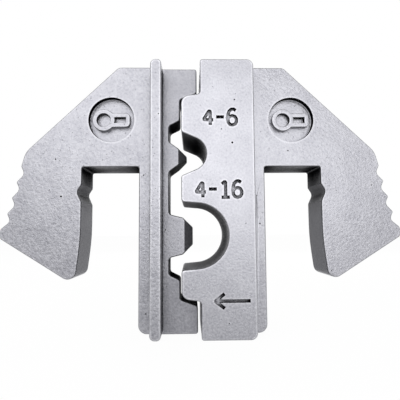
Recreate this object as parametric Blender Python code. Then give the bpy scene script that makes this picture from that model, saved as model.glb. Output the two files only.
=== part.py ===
"""Quick-change crimp die set, as its two die halves.

The nest die is a thick block with two open nests, one for each barrel size. The indenter die
is a thin plate on a thick back ridge, with two indenters that press a barrel into its nest.
Both dies carry the same forked wing: its slot slides over the crimping tool's jaw, and its
outer leg springs, so that the notch inside the leg snaps over the jaw and holds the die.

Units are metres. X is the closing direction, Y runs along the cable and +Z is up. The origin
lies midway between the two shoulders, at mid-thickness, level with the lower die ends.
Outlines are drawn in X and Z from the middle of the die's length, then given their thickness.
"""

import math

import bmesh
import bpy
from mathutils import Vector

MM = 0.001

# Both dies
DIE_LENGTH = 40.0 * MM
DIE_THICKNESS = 12.8 * MM
OUTER_CORNER_RADIUS = 0.95 * MM
INNER_CORNER_RADIUS = 0.35 * MM
EDGE_RADIUS = 0.2 * MM
ROOT_OVERLAP = 0.2 * MM

# Parting line between the dies, as closed as in the photograph
PARTING_X = -3.03 * MM
LAND_GAP = 0.3 * MM
END_LAND_GAP = 0.44 * MM
END_LAND_STEP = 2.75 * MM
STEP_CLEARANCE = 0.7 * MM

# Nest die
NEST_BLOCK_DEPTH = 10.53 * MM
NEST_LIP_RADIUS = 0.45 * MM
SMALL_NEST_Z = 6.05 * MM
SMALL_NEST_RADIUS = 2.45 * MM
SMALL_NEST_DEPTH = 3.61 * MM
SMALL_NEST_FLARE = math.radians(23.5)
LARGE_NEST_Z = -5.63 * MM
LARGE_NEST_RADIUS = 4.6 * MM
LARGE_NEST_DEPTH = 6.66 * MM
LARGE_NEST_FLARE = math.radians(5.0)
NEST_STEP_SLOPE = math.radians(8.5)
NEST_STEP_RADIUS = 1.2 * MM
NEST_STEP_FILLET = 0.5 * MM

# Indenter die
RIDGE_WIDTH = 1.6 * MM
PLATE_THICKNESS = 5.6 * MM
PLATE_WEB = 0.9 * MM
RELIEF_DEPTH = 1.67 * MM
UPPER_RELIEF_MARGIN = 2.65 * MM
LOWER_RELIEF_MARGIN = 2.5 * MM
RELIEF_SLOPE = math.radians(26.0)
RELIEF_FILLET = 0.6 * MM
UPPER_LAND_LENGTH = 3.32 * MM
LOWER_LAND_LENGTH = 2.82 * MM
PLATE_STEP_SLOPE = math.radians(20.0)
PLATE_STEP_RADIUS = 0.5 * MM
SMALL_INDENTER_RISE = 0.24 * MM
SMALL_INDENTER_REACH = 1.03 * MM
SMALL_INDENTER_TIP_WIDTH = 0.75 * MM
SMALL_INDENTER_CLEARANCE = 0.85 * MM
LARGE_INDENTER_RISE = -0.06 * MM
LARGE_INDENTER_REACH = 1.91 * MM
LARGE_INDENTER_TIP_WIDTH = 2.64 * MM
LARGE_INDENTER_CLEARANCE = 1.53 * MM
LARGE_INDENTER_SHOULDER = 0.51 * MM
LARGE_INDENTER_NOSE = 1.5 * MM
BELL_SETBACK = 1.15 * MM
BELL_DEPTH = 2.0 * MM
INDENTER_TIP_RADIUS = 0.4 * MM

# Wing: X sizes start at the die's shoulder, Z sizes at the middle of its length
WING_THICKNESS = 6.8 * MM
WING_END_RECESS = 0.2 * MM
STRIP_WIDTH = 1.9 * MM
SLOT_WIDTH = 8.5 * MM
SLOT_ROOF_Z = 4.67 * MM
SLOT_CORNER_RADIUS = 0.3 * MM
STRIP_CORNER_RADIUS = 1.25 * MM
NOTCH_DROP = 2.6 * MM
NOTCH_HEIGHT = 2.65 * MM
NOTCH_DEPTH = 0.7 * MM
NOTCH_PEAK_SHARE = 0.42
NOTCH_RADIUS = 0.95 * MM
NOTCH_LIP_RADIUS = 0.4 * MM
LEG_BEND_DROP = 10.87 * MM
LEG_BEND_ANGLE = math.radians(7.2)
LEG_BEND_RADIUS = 38.0 * MM
LEG_FOOT_RADIUS = 1.25 * MM
LEG_FOOT_ANGLE = math.radians(32.0)
LEG_REACH = 22.2 * MM
LEG_TIP_LAND = 1.3 * MM
LEG_TIP_RADIUS = 0.6 * MM
WING_SLOPE = math.radians(43.6)
WING_TOP_RADIUS = 1.0 * MM
GRIP_TOP_X = 18.8 * MM
GRIP_TOP_Z = 6.95 * MM
GRIP_TOP_RADIUS = 3.0 * MM
GRIP_LEAD = 2.25 * MM
GRIP_LEAN = math.radians(14.8)
TOOTH_COUNT = 4
TOOTH_PITCH = 2.42 * MM
TOOTH_DEPTH = 0.78 * MM
TOOTH_VALLEY_SHARE = 0.4
TOOTH_POINT_RADIUS = 0.3 * MM
TOOTH_VALLEY_RADIUS = 0.8 * MM
MARK_X = 6.1 * MM
MARK_Z = 11.84 * MM
MARK_RADIUS = 3.45 * MM
MARK_DEPTH = 1.0 * MM
MARK_DRAFT = 0.08 * MM

# Faceting
NEST_ARC_STEPS = 18
EDGE_STEPS = 2
MARK_STEPS = 48
FEWEST_CORNER_STEPS = 3
MOST_CORNER_STEPS = 8
RADIUS_PER_EXTRA_STEP = 0.4 * MM
WALL_SHARE_FOR_FILLET = 0.45
RIM_SHARE_OF_CORNER = 0.8
SHARP_ANGLE = math.radians(35.0)

# Places that follow from the sizes above
HALF_LENGTH = DIE_LENGTH / 2
NEST_END_LAND_X = PARTING_X + END_LAND_STEP
NEST_SHOULDER_X = PARTING_X + NEST_BLOCK_DEPTH
PLATE_LAND_X = PARTING_X - LAND_GAP
PLATE_END_LAND_X = NEST_END_LAND_X - END_LAND_GAP
RELIEF_X = PLATE_LAND_X - RELIEF_DEPTH
RIDGE_INNER_X = RELIEF_X - PLATE_WEB
INDENTER_SHOULDER_X = RIDGE_INNER_X - RIDGE_WIDTH
TIGHTEST_CORNER = min(
    OUTER_CORNER_RADIUS, INNER_CORNER_RADIUS, NEST_LIP_RADIUS, INDENTER_TIP_RADIUS,
    TOOTH_POINT_RADIUS, LEG_TIP_RADIUS,
)
RIM_RADIUS = min(EDGE_RADIUS, RIM_SHARE_OF_CORNER * TIGHTEST_CORNER)


def clear_scene():
    """Remove every object that the file starts with."""
    for thing in list(bpy.data.objects):
        bpy.data.objects.remove(thing, do_unlink=True)


def corner_steps(radius):
    """Return how many facets round off a corner of this radius."""
    extra = int(radius / RADIUS_PER_EXTRA_STEP)
    return min(FEWEST_CORNER_STEPS + extra, MOST_CORNER_STEPS)


def rounded(corners):
    """Return the closed outline through (x, z, radius) corners, with each corner rounded.

    A radius of zero keeps the corner sharp, and a fillet is limited by the walls beside it.
    """
    outline = []
    for index, (x, z, radius) in enumerate(corners):
        corner = Vector((x, z))
        if radius <= 0.0:
            outline.append(corner)
            continue
        to_last = Vector(corners[index - 1][:2]) - corner
        to_next = Vector(corners[(index + 1) % len(corners)][:2]) - corner
        half_turn = (math.pi - to_last.angle(to_next)) / 2
        longest = WALL_SHARE_FOR_FILLET * min(to_last.length, to_next.length)
        fillet = min(radius, longest / math.tan(half_turn))
        tangent_length = fillet * math.tan(half_turn)
        bisector = (to_last.normalized() + to_next.normalized()).normalized()
        centre = corner + bisector * fillet / math.cos(half_turn)
        start = corner + to_last.normalized() * tangent_length - centre
        end = corner + to_next.normalized() * tangent_length - centre
        steps = corner_steps(radius)
        turn = math.copysign(2 * half_turn, start.x * end.y - start.y * end.x)
        for step in range(steps + 1):
            angle = turn * step / steps
            cosine, sine = math.cos(angle), math.sin(angle)
            swung = Vector((start.x * cosine - start.y * sine, start.x * sine + start.y * cosine))
            outline.append(centre + swung)
    return outline


def mirrored(corners):
    """Return the corners mirrored in X, listed backwards so that they still run anticlockwise."""
    return [(-x, z, radius) for x, z, radius in reversed(corners)]


def inset(outline, distance):
    """Return an anticlockwise outline moved inwards by a distance, with as many points."""
    moved = []
    for index, point in enumerate(outline):
        arriving = (point - outline[index - 1]).normalized()
        leaving = (outline[(index + 1) % len(outline)] - point).normalized()
        inward = Vector((-arriving.y - leaving.y, arriving.x + leaving.x))
        moved.append(point + inward * distance / (1 + arriving.dot(leaving)))
    return moved


def edge_sections(outline, face_y, direction):
    """Return the (y, outline) sections that round the rim of a face at face_y.

    direction is +1 where the solid lies on the +Y side of the face, and -1 where it doesn't.
    """
    sections = []
    for step in range(EDGE_STEPS + 1):
        angle = math.pi / 2 * step / EDGE_STEPS
        shrink = RIM_RADIUS * (1 - math.sin(angle))
        depth = RIM_RADIUS * (1 - math.cos(angle))
        sections.append((face_y + direction * depth, inset(outline, shrink)))
    return sections


def loft(name, sections):
    """Make a closed solid through anticlockwise (y, outline) sections, listed from front to back.

    All outlines have as many points, and the faces between them are wound to point outwards.
    """
    shape = bmesh.new()
    rings = []
    for y, outline in sections:
        rings.append([shape.verts.new((point.x, y, point.y)) for point in outline])
    for near, far in zip(rings, rings[1:]):
        for index, vertex in enumerate(near):
            before = index - 1
            shape.faces.new((vertex, near[before], far[before], far[index]))
    shape.faces.new(rings[0])
    shape.faces.new(list(reversed(rings[-1])))
    mesh = bpy.data.meshes.new(name)
    shape.to_mesh(mesh)
    shape.free()
    mesh.shade_smooth()
    mesh.set_sharp_from_angle(angle=SHARP_ANGLE)
    thing = bpy.data.objects.new(name, mesh)
    bpy.context.scene.collection.objects.link(thing)
    return thing


def slab(name, outline, thickness):
    """Make a flat solid of even thickness, centred on Y = 0, with rounded rims."""
    front = edge_sections(outline, -thickness / 2, 1)
    back = edge_sections(outline, thickness / 2, -1)
    return loft(name, front + list(reversed(back)))


def hide_form(form):
    """Mark a form as one that only shapes another solid."""
    form.hide_render = True
    form.display_type = "WIRE"


def combine(thing, form, operation):
    """Join a hidden form to a solid, or cut it away, with an exact Boolean."""
    hide_form(form)
    change = thing.modifiers.new(form.name, "BOOLEAN")
    change.operation = operation
    change.solver = "EXACT"
    change.object = form


def steel(name, colour, roughness):
    """Make the satin steel of one die."""
    material = bpy.data.materials.new(name)
    material.use_nodes = True
    shader = material.node_tree.nodes["Principled BSDF"]
    shader.inputs["Base Color"].default_value = (*colour, 1.0)
    shader.inputs["Metallic"].default_value = 1.0
    shader.inputs["Roughness"].default_value = roughness
    return material


def mouth_half_width(radius, depth, flare):
    """Return half a nest's width where its flared walls reach the land."""
    return radius * math.tan((math.pi / 2 - flare) / 2) + depth * math.tan(flare)


def nest_corners(centre_z, radius, depth, flare):
    """Return the corners of one open nest, from its upper lip round to its lower lip."""
    half_mouth = mouth_half_width(radius, depth, flare)
    arc_x = PARTING_X + depth - radius
    swing = math.pi / 2 - flare
    corners = [(PARTING_X, centre_z + half_mouth, NEST_LIP_RADIUS)]
    for step in range(NEST_ARC_STEPS + 1):
        angle = swing - 2 * swing * step / NEST_ARC_STEPS
        corners.append((arc_x + radius * math.cos(angle), centre_z + radius * math.sin(angle), 0.0))
    corners.append((PARTING_X, centre_z - half_mouth, NEST_LIP_RADIUS))
    return corners


SMALL_MOUTH = mouth_half_width(SMALL_NEST_RADIUS, SMALL_NEST_DEPTH, SMALL_NEST_FLARE)
LARGE_MOUTH = mouth_half_width(LARGE_NEST_RADIUS, LARGE_NEST_DEPTH, LARGE_NEST_FLARE)
SMALL_ROOT = SMALL_MOUTH - SMALL_INDENTER_CLEARANCE
LARGE_ROOT = LARGE_MOUTH - LARGE_INDENTER_CLEARANCE
SMALL_INDENTER_Z = SMALL_NEST_Z + SMALL_INDENTER_RISE
LARGE_INDENTER_Z = LARGE_NEST_Z + LARGE_INDENTER_RISE
RELIEF_TOP_Z = SMALL_NEST_Z + SMALL_ROOT + UPPER_RELIEF_MARGIN
RELIEF_BOTTOM_Z = LARGE_NEST_Z - LARGE_ROOT - LOWER_RELIEF_MARGIN
RELIEF_RUN = RELIEF_DEPTH * math.tan(RELIEF_SLOPE)
PLATE_STEP_TOP_Z = RELIEF_TOP_Z + RELIEF_RUN + UPPER_LAND_LENGTH
PLATE_STEP_BOTTOM_Z = RELIEF_BOTTOM_Z - RELIEF_RUN - LOWER_LAND_LENGTH
NEST_STEP_TOP_Z = PLATE_STEP_TOP_Z - STEP_CLEARANCE
NEST_STEP_BOTTOM_Z = PLATE_STEP_BOTTOM_Z + STEP_CLEARANCE


def nest_block_outline():
    """Return the outline of the nest block: shoulder, end lands, middle land and two nests."""
    step_run = END_LAND_STEP * math.tan(NEST_STEP_SLOPE)
    corners = [
        (NEST_SHOULDER_X, -HALF_LENGTH, OUTER_CORNER_RADIUS),
        (NEST_SHOULDER_X, HALF_LENGTH, OUTER_CORNER_RADIUS),
        (NEST_END_LAND_X, HALF_LENGTH, INNER_CORNER_RADIUS),
        (NEST_END_LAND_X, NEST_STEP_TOP_Z + step_run, NEST_STEP_FILLET),
        (PARTING_X, NEST_STEP_TOP_Z, NEST_STEP_RADIUS),
    ]
    corners += nest_corners(SMALL_NEST_Z, SMALL_NEST_RADIUS, SMALL_NEST_DEPTH, SMALL_NEST_FLARE)
    corners += nest_corners(LARGE_NEST_Z, LARGE_NEST_RADIUS, LARGE_NEST_DEPTH, LARGE_NEST_FLARE)
    corners += [
        (PARTING_X, NEST_STEP_BOTTOM_Z, NEST_STEP_RADIUS),
        (NEST_END_LAND_X, NEST_STEP_BOTTOM_Z - step_run, NEST_STEP_FILLET),
        (NEST_END_LAND_X, -HALF_LENGTH, INNER_CORNER_RADIUS),
    ]
    return rounded(corners)


def ridge_outline():
    """Return the outline of the thick ridge along the back of the indenter plate."""
    return rounded([
        (RIDGE_INNER_X, -HALF_LENGTH, INNER_CORNER_RADIUS),
        (RIDGE_INNER_X, HALF_LENGTH, INNER_CORNER_RADIUS),
        (INDENTER_SHOULDER_X, HALF_LENGTH, OUTER_CORNER_RADIUS),
        (INDENTER_SHOULDER_X, -HALF_LENGTH, OUTER_CORNER_RADIUS),
    ])


def small_indenter(setback):
    """Return the (x, half width, radius) corners of the small indenter, from root to tip."""
    tip_x = PLATE_LAND_X + SMALL_INDENTER_REACH
    tip_half = SMALL_INDENTER_TIP_WIDTH / 2
    flank = (SMALL_ROOT - tip_half) / (tip_x - RELIEF_X)
    return [
        (RELIEF_X, SMALL_ROOT, RELIEF_FILLET),
        (tip_x - setback, tip_half + setback * flank, INDENTER_TIP_RADIUS),
    ]


def large_indenter(setback):
    """Return the (x, half width, radius) corners of the large indenter, from root to tip."""
    tip_x = PLATE_LAND_X + LARGE_INDENTER_REACH
    shoulder_x = tip_x - LARGE_INDENTER_NOSE
    shoulder_half = LARGE_ROOT - LARGE_INDENTER_SHOULDER
    tip_half = LARGE_INDENTER_TIP_WIDTH / 2
    flank = (shoulder_half - tip_half) / LARGE_INDENTER_NOSE
    return [
        (RELIEF_X, LARGE_ROOT, RELIEF_FILLET),
        (shoulder_x, shoulder_half, INDENTER_TIP_RADIUS),
        (tip_x - setback, tip_half + setback * flank, INDENTER_TIP_RADIUS),
    ]


def indenter_corners(profile, centre_z):
    """Return an indenter's outline corners, from its lower root over its tip to its upper root."""
    lower = [(x, centre_z - half_width, radius) for x, half_width, radius in profile]
    upper = [(x, centre_z + half_width, radius) for x, half_width, radius in reversed(profile)]
    return lower + upper


def plate_outline(setback):
    """Return the outline of the indenter plate, with both indenter tips set back by a distance."""
    root_x = RIDGE_INNER_X - INNER_CORNER_RADIUS - ROOT_OVERLAP
    step_run = (PLATE_END_LAND_X - PLATE_LAND_X) * math.tan(PLATE_STEP_SLOPE)
    corners = [
        (root_x, HALF_LENGTH, 0.0),
        (root_x, -HALF_LENGTH, 0.0),
        (PLATE_END_LAND_X, -HALF_LENGTH, INNER_CORNER_RADIUS),
        (PLATE_END_LAND_X, PLATE_STEP_BOTTOM_Z - step_run, PLATE_STEP_RADIUS),
        (PLATE_LAND_X, PLATE_STEP_BOTTOM_Z, PLATE_STEP_RADIUS),
        (PLATE_LAND_X, RELIEF_BOTTOM_Z - RELIEF_RUN, RELIEF_FILLET),
        (RELIEF_X, RELIEF_BOTTOM_Z, RELIEF_FILLET),
    ]
    corners += indenter_corners(large_indenter(setback), LARGE_INDENTER_Z)
    corners += indenter_corners(small_indenter(setback), SMALL_INDENTER_Z)
    corners += [
        (RELIEF_X, RELIEF_TOP_Z, RELIEF_FILLET),
        (PLATE_LAND_X, RELIEF_TOP_Z + RELIEF_RUN, RELIEF_FILLET),
        (PLATE_LAND_X, PLATE_STEP_TOP_Z, PLATE_STEP_RADIUS),
        (PLATE_END_LAND_X, PLATE_STEP_TOP_Z + step_run, PLATE_STEP_RADIUS),
        (PLATE_END_LAND_X, HALF_LENGTH, INNER_CORNER_RADIUS),
    ]
    return rounded(corners)


def indenter_plate(name):
    """Make the indenter plate, whose indenter tips slope back into a bell mouth at each face."""
    face = plate_outline(BELL_SETBACK)
    full = plate_outline(0.0)
    front_y = -PLATE_THICKNESS / 2
    front = edge_sections(face, front_y, 1) + [(front_y + BELL_DEPTH, full)]
    back = edge_sections(face, -front_y, -1) + [(-front_y - BELL_DEPTH, full)]
    return loft(name, front + list(reversed(back)))


def grip_corners(shoulder_x):
    """Return the corners of the serrated finger grip, from its leg tip up to its top corner."""
    along = Vector((math.sin(GRIP_LEAN), -math.cos(GRIP_LEAN)))
    outward = Vector((math.cos(GRIP_LEAN), math.sin(GRIP_LEAN)))
    grip_top = Vector((shoulder_x + GRIP_TOP_X, GRIP_TOP_Z))
    first_point = grip_top + along * GRIP_LEAD
    corners = [(*grip_top, GRIP_TOP_RADIUS)]
    for tooth in range(TOOTH_COUNT):
        point = first_point + along * TOOTH_PITCH * tooth
        valley = point + along * TOOTH_PITCH * TOOTH_VALLEY_SHARE - outward * TOOTH_DEPTH
        corners.append((*point, TOOTH_POINT_RADIUS))
        corners.append((*valley, TOOTH_VALLEY_RADIUS))
    tip_z = (first_point + along * TOOTH_PITCH * TOOTH_COUNT).y
    tip_x = shoulder_x + LEG_REACH
    corners.append((tip_x, tip_z, LEG_TIP_RADIUS))
    corners.append((tip_x, tip_z - LEG_TIP_LAND, LEG_TIP_RADIUS))
    return list(reversed(corners))


def wing_corners(shoulder_x):
    """Return the corners of a forked wing that stands out on the +X side of a shoulder."""
    root_x = shoulder_x - OUTER_CORNER_RADIUS - ROOT_OVERLAP
    lower_end_z = WING_END_RECESS - HALF_LENGTH
    strip_x = shoulder_x + STRIP_WIDTH
    leg_x = strip_x + SLOT_WIDTH
    notch_top_z = SLOT_ROOF_Z - NOTCH_DROP
    notch_peak_z = notch_top_z - NOTCH_HEIGHT * NOTCH_PEAK_SHARE
    notch_bottom_z = notch_top_z - NOTCH_HEIGHT
    bend_z = SLOT_ROOF_Z - LEG_BEND_DROP
    grip = grip_corners(shoulder_x)
    tip_x, tip_z = grip[0][:2]
    # The foot lies where the underside, drawn in from the tip, meets the bent inner wall.
    lean = math.tan(LEG_BEND_ANGLE)
    rise = math.tan(LEG_FOOT_ANGLE)
    foot_x = (leg_x + lean * (bend_z - tip_z + rise * tip_x)) / (1 + lean * rise)
    foot_z = tip_z - rise * (tip_x - foot_x)
    top_x = shoulder_x + GRIP_TOP_X - (HALF_LENGTH - GRIP_TOP_Z) / math.tan(WING_SLOPE)
    return [
        (root_x, HALF_LENGTH, 0.0),
        (root_x, lower_end_z, 0.0),
        (strip_x, lower_end_z, STRIP_CORNER_RADIUS),
        (strip_x, SLOT_ROOF_Z, SLOT_CORNER_RADIUS),
        (leg_x, SLOT_ROOF_Z, SLOT_CORNER_RADIUS),
        (leg_x, notch_top_z, NOTCH_LIP_RADIUS),
        (leg_x + NOTCH_DEPTH, notch_peak_z, NOTCH_RADIUS),
        (leg_x, notch_bottom_z, NOTCH_LIP_RADIUS),
        (leg_x, bend_z, LEG_BEND_RADIUS),
        (foot_x, foot_z, LEG_FOOT_RADIUS),
        *grip,
        (top_x, HALF_LENGTH, WING_TOP_RADIUS),
    ]


def mark_cutter(name, centre_x):
    """Make the drafted disc that cuts the round mark recess into a wing's front face."""
    face_y = -WING_THICKNESS / 2
    sections = []
    for depth, radius in ((-MARK_DEPTH, MARK_RADIUS + 2 * MARK_DRAFT),
                          (MARK_DEPTH, MARK_RADIUS - MARK_DRAFT)):
        outline = []
        for step in range(MARK_STEPS):
            angle = 2 * math.pi * step / MARK_STEPS
            outline.append(Vector((centre_x + radius * math.cos(angle), MARK_Z + radius * math.sin(angle))))
        sections.append((face_y + depth, outline))
    return loft(name, sections)


def build_nest_die():
    """Build the nest die: block and nests, wing, and the recess on the wing's face."""
    die = slab("nest_die", nest_block_outline(), DIE_THICKNESS)
    wing = slab("nest_die_wing_form", rounded(wing_corners(NEST_SHOULDER_X)), WING_THICKNESS)
    mark = mark_cutter("nest_die_mark_cutter", NEST_SHOULDER_X + MARK_X)
    combine(die, wing, "UNION")
    combine(die, mark, "DIFFERENCE")
    die.data.materials.append(steel("nest_die_steel", (0.68, 0.68, 0.70), 0.42))
    return [die, wing, mark]


def build_indenter_die():
    """Build the indenter die: ridge, indenter plate, mirrored wing and its recess."""
    die = slab("indenter_die", ridge_outline(), DIE_THICKNESS)
    plate = indenter_plate("indenter_die_plate_form")
    outline = rounded(mirrored(wing_corners(-INDENTER_SHOULDER_X)))
    wing = slab("indenter_die_wing_form", outline, WING_THICKNESS)
    mark = mark_cutter("indenter_die_mark_cutter", INDENTER_SHOULDER_X - MARK_X)
    combine(die, plate, "UNION")
    combine(die, wing, "UNION")
    combine(die, mark, "DIFFERENCE")
    die.data.materials.append(steel("indenter_die_steel", (0.62, 0.62, 0.64), 0.46))
    return [die, plate, wing, mark]


def main():
    """Build both dies on the axis along which they close."""
    clear_scene()
    closing_axis = bpy.data.objects.new("closing_axis", None)
    closing_axis.location = (0.0, 0.0, HALF_LENGTH)
    bpy.context.scene.collection.objects.link(closing_axis)
    for thing in build_nest_die() + build_indenter_die():
        thing.parent = closing_axis


main()
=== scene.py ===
"""Looks of the quick-change crimp die set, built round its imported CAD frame.

Each die half is one moulded steel casting that stands for its CAD node: a nest block or an
indenter plate, with a forked spring wing. Outlines are drawn in X and Z from the middle of the
dies' length, as in the part's source, and are then given their thickness and rounded rims.
"""

import logging
import math
from collections.abc import Callable
from dataclasses import dataclass, field
from enum import Enum
from functools import partial
from typing import ClassVar

import bmesh
import bpy
from bpy.types import ID, Material, Node, NodeSocket, NodeTree, Object
from mathutils import Matrix, Vector


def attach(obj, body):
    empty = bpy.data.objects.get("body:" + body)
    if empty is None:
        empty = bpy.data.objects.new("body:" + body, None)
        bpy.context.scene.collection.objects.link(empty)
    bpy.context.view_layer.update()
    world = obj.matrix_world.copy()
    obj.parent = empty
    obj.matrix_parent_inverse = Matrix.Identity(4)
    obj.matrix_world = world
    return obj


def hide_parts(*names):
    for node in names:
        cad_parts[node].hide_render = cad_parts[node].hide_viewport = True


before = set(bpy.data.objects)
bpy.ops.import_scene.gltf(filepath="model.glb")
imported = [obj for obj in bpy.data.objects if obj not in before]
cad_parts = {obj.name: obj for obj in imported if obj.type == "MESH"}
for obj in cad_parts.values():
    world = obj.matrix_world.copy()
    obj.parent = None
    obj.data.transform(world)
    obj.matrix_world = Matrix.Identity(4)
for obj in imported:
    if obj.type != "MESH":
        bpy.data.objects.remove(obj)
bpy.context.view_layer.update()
MM = 0.001
UPRIGHT = (math.pi / 2, 0.0, 0.0)
LOG = logging.getLogger("crimp_die")

# Kinds of node that are used many times.
MATHS, VECTORS = "ShaderNodeMath", "ShaderNodeVectorMath"
SPLIT, MERGE = "ShaderNodeSeparateXYZ", "ShaderNodeCombineXYZ"
RANGE, MIX = "ShaderNodeMapRange", "ShaderNodeMix"

Corner = tuple[float, float, float]
Point = tuple[float, float]
Range = tuple[float, float]
Place = tuple[float, float, float]
Void = tuple[float, float, float, float]
NodeAdder = Callable[..., Node]
Sockets = bpy.types.bpy_prop_collection


class Operation(Enum):
    """How a form changes a solid."""

    JOIN = "UNION"
    CUT = "DIFFERENCE"


class Half(Enum):
    """The two die halves, by the name of their body and CAD node."""

    NEST = "nest_die"
    INDENTER = "indenter_die"


def to_linear(colour: str) -> tuple[float, float, float, float]:
    """Turn an sRGB hex colour into linear values.

    Args:
        colour: six hex digits, with or without a leading hash sign.

    Returns:
        Red, green and blue in linear light, and an alpha of one.
    """
    digits = colour.lstrip("#")
    values = [int(digits[place:place + 2], 16) / 255 for place in (0, 2, 4)]
    red, green, blue = (v / 12.92 if v <= 0.04045 else ((v + 0.055) / 1.055) ** 2.4 for v in values)
    return red, green, blue, 1.0


def add_node(tree: NodeTree, kind: str, inputs: dict | tuple = (), **settings) -> Node:
    """Add a node with its settings and links.

    Args:
        tree: the tree that gets the node.
        kind: Blender's name for the kind of node.
        inputs: values by the name or number of their socket, or in the sockets' order. A socket
            among them is linked, and so is a node, by its first output in use.
        settings: properties of the node itself.

    Returns:
        The new node.
    """
    node = tree.nodes.new(kind)
    for name, value in settings.items():
        setattr(node, name, value)
    for key, value in inputs.items() if isinstance(inputs, dict) else enumerate(inputs):
        if isinstance(value, Node):
            value = next(socket for socket in value.outputs if socket.enabled)
        if isinstance(value, NodeSocket):
            tree.links.new(value, node.inputs[key])
        else:
            node.inputs[key].default_value = value
    return node


def new_object(name: str, data: ID) -> Object:
    """Link a new object that shows a mesh, a lamp or a camera, at the origin."""
    thing = bpy.data.objects.new(name, data)
    bpy.context.scene.collection.objects.link(thing)
    return thing


def baked(thing: Object) -> Object:
    """Turn an object's modifiers into plain mesh.

    Args:
        thing: an object with live modifiers, which lose their effect on it.

    Returns:
        The same object, without modifiers.
    """
    graph = bpy.context.evaluated_depsgraph_get()
    mesh = bpy.data.meshes.new_from_object(thing.evaluated_get(graph))
    mesh.name = thing.name
    thing.modifiers.clear()
    thing.data = mesh
    return thing


def combine(thing: Object, form: Object, operation: Operation) -> Object:
    """Join a form to a solid or cut it away, and remove the form.

    Args:
        thing: the solid that is changed.
        form: the closed form that changes it.
        operation: join or cut.

    Returns:
        The changed solid.
    """
    change = thing.modifiers.new(form.name, "BOOLEAN")
    change.operation = operation.value
    change.solver = "EXACT"
    change.use_self = True
    change.object = form
    baked(thing)
    bpy.data.objects.remove(form, do_unlink=True)
    return thing


@dataclass(frozen=True)
class Outliner:
    """Rounds and insets outlines, with facets fine enough to look smooth close up."""

    facet_turn: float = math.radians(9.0)
    wall_share: float = 0.45

    def rounded(self, corners: list[Corner]) -> list[Vector]:
        """Return the closed outline through (x, z, radius) corners, with each corner rounded.

        Args:
            corners: the corners, anticlockwise; a radius of zero keeps a corner sharp.

        Returns:
            The outline's points.
        """
        outline = []
        for index, (x, z, radius) in enumerate(corners):
            corner = Vector((x, z))
            if radius <= 0.0:
                outline.append(corner)
                continue
            to_last = Vector(corners[index - 1][:2]) - corner
            to_next = Vector(corners[(index + 1) % len(corners)][:2]) - corner
            half_turn = (math.pi - to_last.angle(to_next)) / 2
            longest = self.wall_share * min(to_last.length, to_next.length)
            fillet = min(radius, longest / math.tan(half_turn))
            bisector = (to_last.normalized() + to_next.normalized()).normalized()
            centre = corner + bisector * fillet / math.cos(half_turn)
            start = corner + to_last.normalized() * fillet * math.tan(half_turn) - centre
            end = corner + to_next.normalized() * fillet * math.tan(half_turn) - centre
            steps = max(3, math.ceil(2 * half_turn / self.facet_turn))
            turn = math.copysign(2 * half_turn, start.x * end.y - start.y * end.x)
            for step in range(steps + 1):
                cosine, sine = math.cos(turn * step / steps), math.sin(turn * step / steps)
                swung = Vector((start.x * cosine - start.y * sine, start.x * sine + start.y * cosine))
                outline.append(centre + swung)
        return outline

    def circle(self, centre: Point, radius: float) -> list[Vector]:
        """Return an anticlockwise circle's points."""
        steps = math.ceil(2 * math.pi / self.facet_turn) * 2
        turns = [2 * math.pi * step / steps for step in range(steps)]
        return [Vector((centre[0] + radius * math.cos(t), centre[1] + radius * math.sin(t)))
                for t in turns]

    def inward(self, outline: list[Vector]) -> list[Vector]:
        """Return, for each point, how far it moves where the outline shrinks by one unit."""
        moves = []
        for index, point in enumerate(outline):
            arriving = (point - outline[index - 1]).normalized()
            leaving = (outline[(index + 1) % len(outline)] - point).normalized()
            across = Vector((-arriving.y - leaving.y, arriving.x + leaving.x))
            moves.append(across / (1 + arriving.dot(leaving)))
        return moves

    def mirrored(self, corners: list[Corner]) -> list[Corner]:
        """Return corners mirrored in X, still anticlockwise."""
        return [(-x, z, radius) for x, z, radius in reversed(corners)]


@dataclass
class FormRule:
    """A rule that makes one kind of form, as a node tree that is built once."""

    title: ClassVar[str]
    sizes: ClassVar[dict[str, str]]
    tree: NodeTree = field(init=False)

    def __post_init__(self) -> None:
        """Build the tree: its inputs, the form's own nodes, and the form in its steel."""
        self.tree = bpy.data.node_groups.new(self.title, "GeometryNodeTree")
        for name, kind in {**self.sizes, "Steel": "Material"}.items():
            self.tree.interface.new_socket(name, in_out="INPUT", socket_type=f"NodeSocket{kind}")
        self.tree.interface.new_socket("Form", in_out="OUTPUT", socket_type="NodeSocketGeometry")
        node = partial(add_node, self.tree)
        given = node("NodeGroupInput").outputs
        real = node("GeometryNodeRealizeInstances", (self.form(node, given),))
        dressed = node("GeometryNodeSetMaterial", {"Geometry": real, "Material": given["Steel"]})
        node("NodeGroupOutput", (dressed,))

    def form(self, node: NodeAdder, given: Sockets) -> Node:
        """Add the form's own nodes.

        Args:
            node: adds a node to the rule's tree.
            given: the tree's inputs.

        Returns:
            The form's last node.
        """
        raise NotImplementedError

    def run(self, thing: Object, values: dict) -> Object:
        """Run the rule on an object.

        Args:
            thing: the object that gives the tree its geometry.
            values: input name to value.

        Returns:
            The same object, with the form as its plain mesh.
        """
        maker = thing.modifiers.new(self.tree.name, "NODES")
        maker.node_group = self.tree
        for item in self.tree.interface.items_tree:
            if item.in_out == "INPUT" and item.name in values:
                maker[item.identifier] = values[item.name]
        return baked(thing)


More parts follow.
